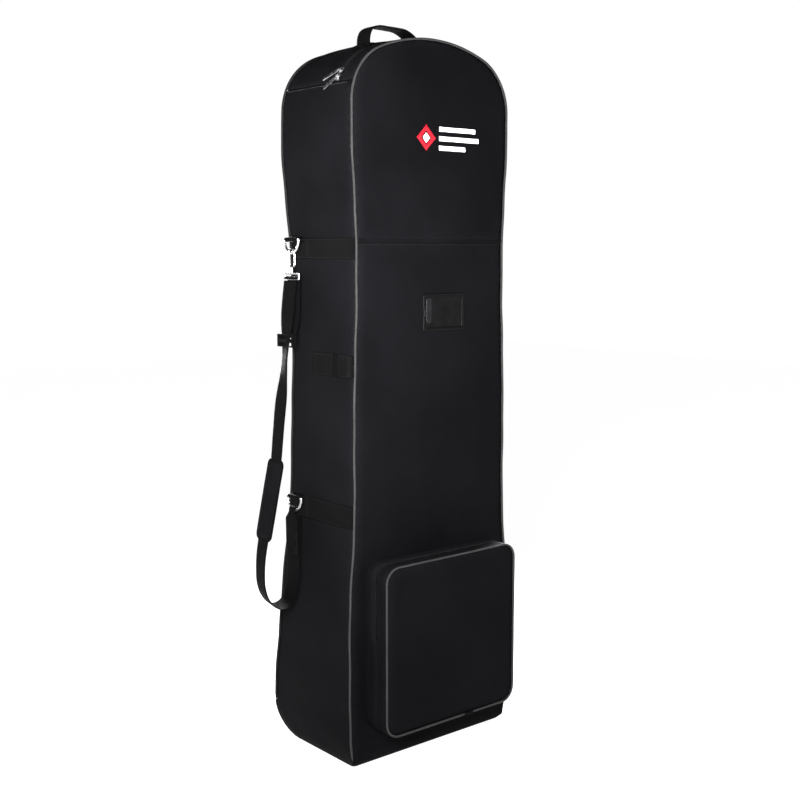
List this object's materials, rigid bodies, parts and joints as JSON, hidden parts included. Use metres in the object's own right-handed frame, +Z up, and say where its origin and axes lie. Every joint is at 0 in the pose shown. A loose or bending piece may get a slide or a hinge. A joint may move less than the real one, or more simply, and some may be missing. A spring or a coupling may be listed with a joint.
{
  "type": "golf travel case",
  "caption": "Tall arched soft travel case for a golf bag, with a zipped front flap, box pocket, carry loop and clip-on shoulder strap.",
  "frame": {"origin": "middle of the base, on the floor, midway between the side walls and 5 mm behind the middle of the flat base", "axes": "+Z up to the crown, the front with the pocket faces -Y, +X to the right seen from the front"},
  "size_m": [0.4413, 0.2895, 1.2728],
  "materials": {
    "shell_fabric": "coated woven, matte with a faint sheen",
    "light_piping": "matte",
    "black_webbing": "ribbed webbing",
    "zip_tape": "matte",
    "zip_coil": "satin",
    "bright_metal": "polished",
    "foam": "matte closed-cell foam",
    "black_plastic": "satin",
    "vinyl": "clear, glossy",
    "emblem_thread": "embroidered"
  },
  "bodies": {
    "case_body": {"back_panel": "shell_fabric", "back_foam": "foam", "back_piping": "shell_fabric", "gusset_left": "shell_fabric", "gusset_right": "shell_fabric", "gusset_top": "shell_fabric", "hood_foam": "foam", "bottom_panel": "shell_fabric", "base_board": "black_plastic", "zip_tape_back": "zip_tape", "zip_coil_back": "zip_coil", "zip_end_tab": "black_webbing", "web_band_upper": "black_webbing", "web_band_middle": "black_webbing", "web_band_lower": "black_webbing", "ring_tabs": "black_webbing", "handle_feet": "black_webbing", "inner_straps": "black_webbing"},
    "front_flap": {"front_panel_upper": "shell_fabric", "front_panel_lower": "shell_fabric", "seam_strip": "shell_fabric", "front_foam": "foam", "front_piping": "light_piping", "flap_top": "shell_fabric", "flap_side": "shell_fabric", "zip_tape_front": "zip_tape", "zip_coil_front": "zip_coil", "window_frame": "black_plastic", "window_vinyl": "vinyl", "emblem": "emblem_thread", "pocket_gusset": "shell_fabric", "pocket_face_lower": "shell_fabric", "pocket_piping_lower": "light_piping", "pocket_zip_back": "zip_tape"},
    "pocket_flap": {"pocket_face_upper": "shell_fabric", "pocket_rim": "shell_fabric", "pocket_piping_upper": "light_piping", "pocket_zip_front": "zip_tape"},
    "slider_a_body": {"slider_a": "bright_metal"},
    "slider_b_body": {"slider_b": "bright_metal"},
    "pull_a_body": {"pull_a": "bright_metal"},
    "pull_b_body": {"pull_b": "bright_metal"},
    "pocket_slider_a_body": {"pocket_slider_a": "bright_metal"},
    "pocket_slider_b_body": {"pocket_slider_b": "bright_metal"},
    "pocket_pull_a_body": {"pocket_pull_a": "bright_metal"},
    "pocket_pull_b_body": {"pocket_pull_b": "bright_metal"},
    "carry_loop": {"handle_loop": "black_webbing"},
    "upper_ring": {"ring_upper": "bright_metal"},
    "lower_ring": {"ring_lower": "bright_metal"},
    "hook": {"snap_hook": "bright_metal"},
    "gate": {"hook_gate": "bright_metal"},
    "shoulder_strap": {"hook_eye": "bright_metal", "strap_webbing": "black_webbing", "strap_return": "black_webbing", "strap_glide": "black_plastic", "shoulder_pad": "shell_fabric", "strap_end_loop": "black_webbing"}
  },
  "joints": [
    {"name": "flap_fold", "type": "hinge", "parent": "case_body", "child": "front_flap", "pos_m": [-0.176, -0.099, 0.6], "axis": [0, 0, -1], "range_deg": [0, 110]},
    {"name": "pocket_fold", "type": "hinge", "parent": "front_flap", "child": "pocket_flap", "pos_m": [0, -0.1592, 0.23], "axis": [1, 0, 0], "range_deg": [0, 95]},
    {"name": "slider_a_travel", "type": "hinge", "parent": "case_body", "child": "slider_a_body", "pos_m": [-0.078, -0.056, 1.135], "axis": [0, 1, 0], "range_deg": [0, 36]},
    {"name": "slider_b_travel", "type": "hinge", "parent": "case_body", "child": "slider_b_body", "pos_m": [-0.078, -0.056, 1.135], "axis": [0, 1, 0], "range_deg": [0, 36]},
    {"name": "pull_a_swing", "type": "hinge", "parent": "slider_a_body", "child": "pull_a_body", "pos_m": [-0.16809, -0.056, 1.18913], "axis": [0.4668, 0.4226, 0.7769], "range_deg": [0, 140]},
    {"name": "pull_b_swing", "type": "hinge", "parent": "slider_b_body", "child": "pull_b_body", "pos_m": [-0.17438, -0.056, 1.17691], "axis": [0.3226, 0.5878, 0.7419], "range_deg": [0, 140]},
    {"name": "pocket_slider_a_travel", "type": "slide", "parent": "front_flap", "child": "pocket_slider_a_body", "axis": [0, 0, 1], "range_m": [0, 0.032]},
    {"name": "pocket_slider_b_travel", "type": "slide", "parent": "front_flap", "child": "pocket_slider_b_body", "axis": [0, 0, 1], "range_m": [-0.022, 0]},
    {"name": "pocket_pull_a_swing", "type": "hinge", "parent": "pocket_slider_a_body", "child": "pocket_pull_a_body", "pos_m": [0.1571, -0.124, 0.296], "axis": [0, -1, 0], "range_deg": [0, 150]},
    {"name": "pocket_pull_b_swing", "type": "hinge", "parent": "pocket_slider_b_body", "child": "pocket_pull_b_body", "pos_m": [0.1571, -0.124, 0.262], "axis": [0, -1, 0], "range_deg": [0, 150]},
    {"name": "carry_loop_lean", "type": "hinge", "parent": "case_body", "child": "carry_loop", "pos_m": [-0.097, -0.03, 1.23445], "axis": [0.9907, 0, 0.136], "range_deg": [-28, 28], "stiffness_Nm_per_rad": 0.05},
    {"name": "upper_ring_swing", "type": "hinge", "parent": "case_body", "child": "upper_ring", "pos_m": [-0.187, 0.06, 0.912], "axis": [0, 1, 0], "range_deg": [0, 75]},
    {"name": "lower_ring_swing", "type": "hinge", "parent": "case_body", "child": "lower_ring", "pos_m": [-0.187, 0.06, 0.457], "axis": [0, 1, 0], "range_deg": [0, 75]},
    {"name": "hook_hang", "type": "hinge", "parent": "upper_ring", "child": "hook", "pos_m": [-0.187, 0.06, 0.89], "axis": [0, 1, 0], "range_deg": [-75, 0]},
    {"name": "hook_swivel", "type": "hinge", "parent": "hook", "child": "shoulder_strap", "pos_m": [-0.187, 0.06, 0.86], "axis": [0, 0, 1], "range_deg": [-8, 8]},
    {"name": "gate_press", "type": "hinge", "parent": "hook", "child": "gate", "pos_m": [-0.1933, 0.06, 0.872], "axis": [0, 1, 0], "range_deg": [0, 24], "stiffness_Nm_per_rad": 0.004, "springref_deg": -8.59}
  ],
  "couplings": [
    {"joint": "slider_b_travel", "follows": "slider_a_travel", "ratio": 1},
    {"joint": "lower_ring_swing", "follows": "upper_ring_swing", "ratio": 1},
    {"joint": "hook_hang", "follows": "upper_ring_swing", "ratio": -1}
  ]
}
